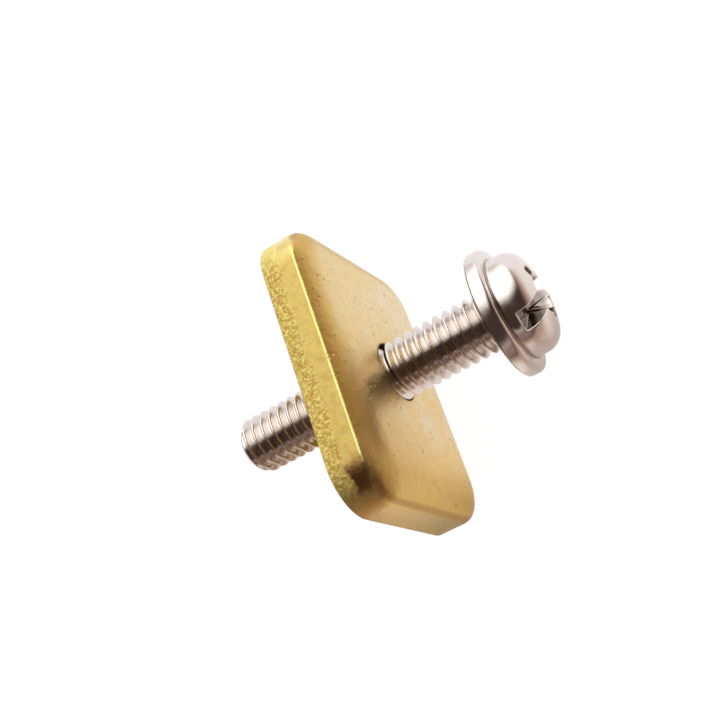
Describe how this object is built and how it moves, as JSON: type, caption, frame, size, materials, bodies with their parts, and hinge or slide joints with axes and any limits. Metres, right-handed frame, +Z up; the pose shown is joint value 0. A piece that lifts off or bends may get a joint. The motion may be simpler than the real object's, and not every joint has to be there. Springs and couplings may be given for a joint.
{
  "type": "machine screw with plate nut",
  "caption": "Washer-head machine screw with a slotted cross recess, threaded through a rectangular brass plate nut that it draws up to clamp a thin part.",
  "frame": {"origin": "centre of the pair's box, on the surface it lies on", "axes": "+X along the screw towards its head, which leans down by about 20 degrees, +Y along the plate's long side, +Z up"},
  "size_m": [0.0216, 0.0186, 0.0148],
  "materials": {
    "steel": "bright rolled stainless steel, mirror-like",
    "brass": "tumbled satin front, burnished and torn side wall"
  },
  "bodies": {
    "plate": {"plate_nut": "brass"},
    "screw": {"screw": "steel"}
  },
  "joints": [
    {"name": "screw_travel", "type": "slide", "parent": "plate", "child": "screw", "axis": [-0.9367, 0, 0.3501], "range_m": [-0.0077, 0.0073]}
  ]
}
